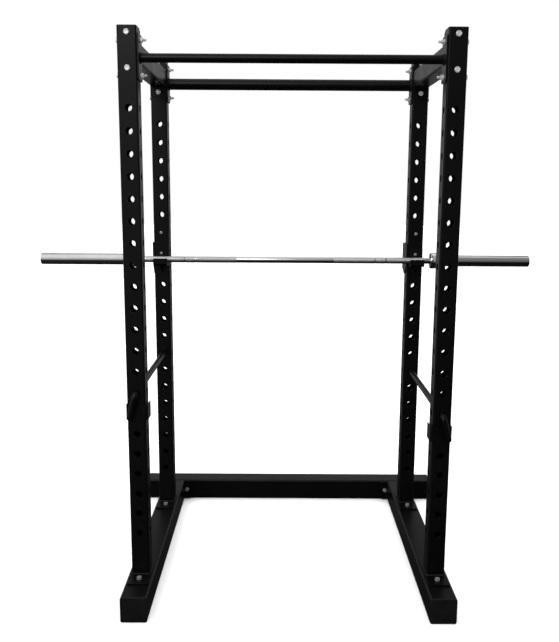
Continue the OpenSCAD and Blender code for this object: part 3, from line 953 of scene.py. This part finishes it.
def hook_welds(side, coat):
    """Beads along both sides of the gusset, under the cradle and down the back plate."""
    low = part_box(side + "_j_hook")[0]
    pin_low, pin_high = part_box(side + "_hook_pin")
    centre_x = (pin_low.x + pin_high.x) / 2 + HOOK_SHIFT
    plate_front = pin_low.y - PLATE_T
    floor_z = (pin_low.z + pin_high.z) / 2 - HOOK_FLOOR_DROP
    foot_gap = 3 * MM
    cradle_gap = 4 * MM
    plate_gap = 6 * MM
    lip_gap = 12 * MM
    bm = bmesh.new()
    for out in (-1, 1):
        x = centre_x + out * GUSSET_HALF_T
        start = (x, plate_front, low.z + foot_gap)
        finish = (x, plate_front, floor_z - cradle_gap)
        weld_bead(bm, straight_run(start, finish, (out, 0, 0), (0, -1, 0)), GUSSET_WELD, False)
        start = (x, plate_front - plate_gap, floor_z)
        finish = (x, low.y + lip_gap, floor_z)
        weld_bead(bm, straight_run(start, finish, (out, 0, 0), (0, 0, -1)), GUSSET_WELD, False)
    add_piece(side + "_hook_weld_beads", bm, [coat], side + "_hook",
              smooth=WELD_SMOOTH_UP_TO)


# ---- Barbell ----

def grip_profile():
    """(radius, distance from the middle) along half the grip, thinner where it isn't knurled."""
    edge = 0.4 * MM
    points = [
        (SMOOTH_R, 0.0),
        (SMOOTH_R, SMOOTH_CENTRE_HALF),
        (GRIP_R, SMOOTH_CENTRE_HALF + edge),
    ]
    for mark in RING_MARKS:
        start = mark - RING_HALF_W
        stop = mark + RING_HALF_W
        points += [
            (GRIP_R, start - edge),
            (GRIP_R - RING_DEPTH, start),
            (GRIP_R - RING_DEPTH, stop),
            (GRIP_R, stop + edge),
        ]
    points += [
        (GRIP_R, KNURL_END),
        (SMOOTH_R, KNURL_END + edge),
        (SMOOTH_R, GRIP_HALF - 1 * MM),
        (GRIP_R - 1.2 * MM, GRIP_HALF),
    ]
    return points


def is_knurled(x):
    x = abs(x)
    if not SMOOTH_CENTRE_HALF < x < KNURL_END:
        return False
    return all(abs(x - mark) > RING_HALF_W for mark in RING_MARKS)


def make_shaft(chrome_finish, centre):
    """Grip, two journals and their snap ring grooves, turned in one piece."""
    half = grip_profile()
    half += [
        (JOURNAL_R, GRIP_HALF),
        (JOURNAL_R, SNAP_GROOVE_START),
        (SNAP_GROOVE_R, SNAP_GROOVE_START),
        (SNAP_GROOVE_R, SNAP_GROOVE_START + SNAP_GROOVE_W),
        (JOURNAL_R, SNAP_GROOVE_START + SNAP_GROOVE_W),
        (JOURNAL_R, SHAFT_END - 1 * MM),
        (JOURNAL_R - 1 * MM, SHAFT_END),
    ]
    profile = [(radius, -along) for radius, along in reversed(half[1:])] + half
    bm = bmesh.new()
    place = placed(centre, (1, 0, 0))
    lathe(bm, profile, place, segments=72)
    knurl = knurled_chrome(centre.y, centre.z)
    for face in bm.faces:
        if len(face.verts) == 4 and is_knurled(face.calc_center_median().x - centre.x):
            face.material_index = 1
    add_piece("turned_shaft", bm, [chrome_finish, knurl], "barbell", ["barbell_shaft"],
              MACHINED_SMOOTH_UP_TO)


def make_sleeve(side, chrome_finish, centre):
    """Collar and sleeve turned from one bar, with relieved corners and a chamfered end."""
    outer = BARBELL_HALF - COLLAR_START
    profile = [
        (SLEEVE_BORE_R, 0.5 * MM),
        (SLEEVE_BORE_R + 0.5 * MM, 0),
        (COLLAR_R - 2.5 * MM, 0),
        (COLLAR_R - 0.7 * MM, 0.7 * MM),
        (COLLAR_R, 2.5 * MM),
        (COLLAR_R, COLLAR_L - 1.5 * MM),
        (COLLAR_R - 0.5 * MM, COLLAR_L - 0.5 * MM),
        (COLLAR_R - 1.5 * MM, COLLAR_L),
        (SLEEVE_R + 1.2 * MM, COLLAR_L),
        (SLEEVE_R + 0.35 * MM, COLLAR_L + 0.35 * MM),
        (SLEEVE_R, COLLAR_L + 1.2 * MM),
        (SLEEVE_R, outer - 2.5 * MM),
        (SLEEVE_R - 0.7 * MM, outer - 0.9 * MM),
        (SLEEVE_R - 2.5 * MM, outer),
        (SLEEVE_BORE_R + 0.5 * MM, outer),
        (SLEEVE_BORE_R, outer - 0.5 * MM),
    ]
    bm = bmesh.new()
    start = centre + Vector((SIGN[side] * COLLAR_START, 0, 0))
    place = placed(start, (SIGN[side], 0, 0))
    lathe(bm, profile, place, segments=96, closed=True)
    body = side + "_sleeve_unit"
    add_piece(side + "_turned_sleeve", bm, [chrome_finish], body, [side + "_sleeve"],
              MACHINED_SMOOTH_UP_TO)


def make_sleeve_plug(side, plastic, centre):
    """End plug with a rounded rim and a shallow dish."""
    low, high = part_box(side + "_sleeve_plug")
    depth = high.x - low.x
    radius = (high.z - low.z) / 2
    outer = high.x if side == "right" else low.x
    place = placed((outer - SIGN[side] * depth, centre.y, centre.z), (SIGN[side], 0, 0))
    profile = [
        (radius, 0),
        (radius, depth - 1.2 * MM),
        (radius - 0.35 * MM, depth - 0.35 * MM),
        (radius - 1.2 * MM, depth),
        (radius - 3 * MM, depth),
        (radius - 3.5 * MM, depth - 0.6 * MM),
        (radius * 0.4, depth - 0.9 * MM),
        (radius * 0.1, depth - 1.0 * MM),
    ]
    bm = bmesh.new()
    lathe(bm, profile, place)
    body = side + "_sleeve_unit"
    add_piece(side + "_moulded_plug", bm, [plastic], body, [side + "_sleeve_plug"])


# ---- Putting the cage together ----

def coated_nodes():
    """The powder coated steelwork."""
    nodes = ["rear_crossmember"]
    nodes += ["front_pullup_bar", "rear_pullup_bar", "front_bar_flanges", "rear_bar_flanges"]
    for side in SIDES:
        nodes += [side + part for part in ("_base_rail", "_rail_flange", "_side_beam", "_beam_flanges")]
        nodes += [side + part for part in ("_j_hook", "_hook_pin", "_safety_rod", "_saddle")]
        for end in ENDS:
            nodes += [f"{end}_{side}_upright", f"{end}_{side}_foot_plate"]
    return nodes


def make_cage():
    coat = powder_coat()
    plastic = cap_plastic()
    pad = wear_pad()
    zinc = zinc_plate("bright_zinc", shade=0.56, metallic=0.55)
    # A second copy of the zinc plate, darker in colour and more metallic, for the foot and base fasteners
    # and the hook screws
    darker_zinc = zinc_plate("darker_zinc", shade=0.45, metallic=0.75)
    chrome_finish = chrome()
    bushing_bronze = bronze()
    for node in coated_nodes():
        refine(node, coat, STEEL_EDGE)
    for side in SIDES:
        refine(side + "_hook_liner", pad, PAD_EDGE)
        refine(side + "_bushings", bushing_bronze, BUSHING_EDGE)
        safety_welds(side, coat)
        hook_welds(side, coat)
        make_hook_screws(side, darker_zinc)
    refine("barbell_snap_rings", zinc, SNAP_RING_EDGE)
    frame_welds(coat)
    make_fasteners(zinc, darker_zinc)
    make_caps(plastic)
    shaft_centre = node_centre("barbell_shaft")
    make_shaft(chrome_finish, shaft_centre)
    for side in SIDES:
        make_sleeve(side, chrome_finish, shaft_centre)
        make_sleeve_plug(side, plastic, shaft_centre)


# ---- Floor, light and camera ----

def make_floor():
    bm = bmesh.new()
    bmesh.ops.create_grid(bm, x_segments=8, y_segments=8, size=FLOOR_HALF)
    mesh = bpy.data.meshes.new("floor")
    bm.to_mesh(mesh)
    bm.free()
    mesh.materials.append(pale_floor())
    floor = bpy.data.objects.new("floor", mesh)
    floor.location.z = -FLOOR_DROP
    floor.visible_glossy = False
    bpy.context.scene.collection.objects.link(floor)


def elevation_ramp(nodes, height, stops):
    """Grey levels by elevation in degrees, for a socket that holds the sine of the elevation."""
    ramp = nodes.add("ShaderNodeValToRGB")
    nodes.feed(ramp.inputs["Fac"], nodes.remap(height, -1, 1))
    elements = ramp.color_ramp.elements
    while len(elements) < len(stops):
        elements.new(0.5)
    for element, (elevation, level) in zip(elements, stops):
        element.position = (math.sin(math.radians(elevation)) + 1) / 2
        element.color = grey(level)
    return ramp.outputs["Color"]


def studio_light(nodes):
    """What the cage reflects: a dim floor, a lit wall behind the cage, light overhead."""
    split = nodes.add("ShaderNodeSeparateXYZ")
    nodes.feed(split.inputs["Vector"], nodes.add("ShaderNodeTexCoord").outputs["Generated"])
    rightward = nodes.remap(split.outputs["X"], -LEFT_RIGHT_FADE, LEFT_RIGHT_FADE)
    backward = nodes.remap(split.outputs["Y"], -FRONT_BACK_FADE, FRONT_BACK_FADE)
    in_front = elevation_ramp(nodes, split.outputs["Z"], FRONT_LEVELS)
    in_front = nodes.mix(rightward, in_front, grey(FRONT_RIGHT_SHARE), "MULTIPLY")
    behind = elevation_ramp(nodes, split.outputs["Z"], BACK_LEVELS)
    return nodes.mix(backward, in_front, behind)


def make_world():
    """A studio that lights the cage, seen by the camera as a plain white backdrop."""
    world = bpy.data.worlds.new("studio")
    bpy.context.scene.world = world
    world.use_nodes = True
    nodes = Nodes(world.node_tree)
    seen = nodes.add("ShaderNodeLightPath").outputs["Is Camera Ray"]
    colour = nodes.mix(seen, studio_light(nodes), grey(1.0))
    nodes.feed(world.node_tree.nodes["Background"].inputs["Color"], colour)


def add_softbox(name, spot, reflected):
    light = bpy.data.lights.new(name, "AREA")
    light.shape = "RECTANGLE"
    light.size, light.size_y = SOFTBOX_SIZE
    light.energy = SOFTBOX_POWER
    lamp = bpy.data.objects.new(name, light)
    lamp.location = spot
    lamp.rotation_euler = (Vector(SOFTBOX_TARGET) - Vector(spot)).to_track_quat("-Z", "Y").to_euler()
    lamp.visible_glossy = reflected
    bpy.context.scene.collection.objects.link(lamp)


def add_overhead_sky():
    """A very wide sun straight above, so that the floor is lit evenly as far as the eye can see."""
    light = bpy.data.lights.new("overhead_sky", "SUN")
    light.energy = SUN_STRENGTH
    light.angle = SUN_SPREAD
    lamp = bpy.data.objects.new("overhead_sky", light)
    lamp.visible_glossy = False
    bpy.context.scene.collection.objects.link(lamp)


def make_lights():
    add_overhead_sky()
    add_softbox("front_box", FRONT_BOX_PLACE, reflected=True)
    add_softbox("back_box", BACK_BOX_PLACE, reflected=False)


def make_camera():
    """Standing eye height, a little left of the middle, looking slightly down."""
    camera = bpy.data.cameras.new("camera")
    camera.lens = CAMERA_LENS
    camera.clip_end = 100
    eye = bpy.data.objects.new("camera", camera)
    heading = Matrix.Rotation(CAMERA_HEADING, 4, "Z")
    tilt = Matrix.Rotation(CAMERA_TILT, 4, "X")
    roll = Matrix.Rotation(CAMERA_ROLL, 4, "Z")
    eye.matrix_world = Matrix.Translation(CAMERA_PLACE) @ heading @ tilt @ roll
    bpy.context.scene.collection.objects.link(eye)
    bpy.context.scene.camera = eye


make_cage()
make_floor()
make_world()
make_lights()
make_camera()
bpy.context.scene.view_settings.view_transform = "Standard"
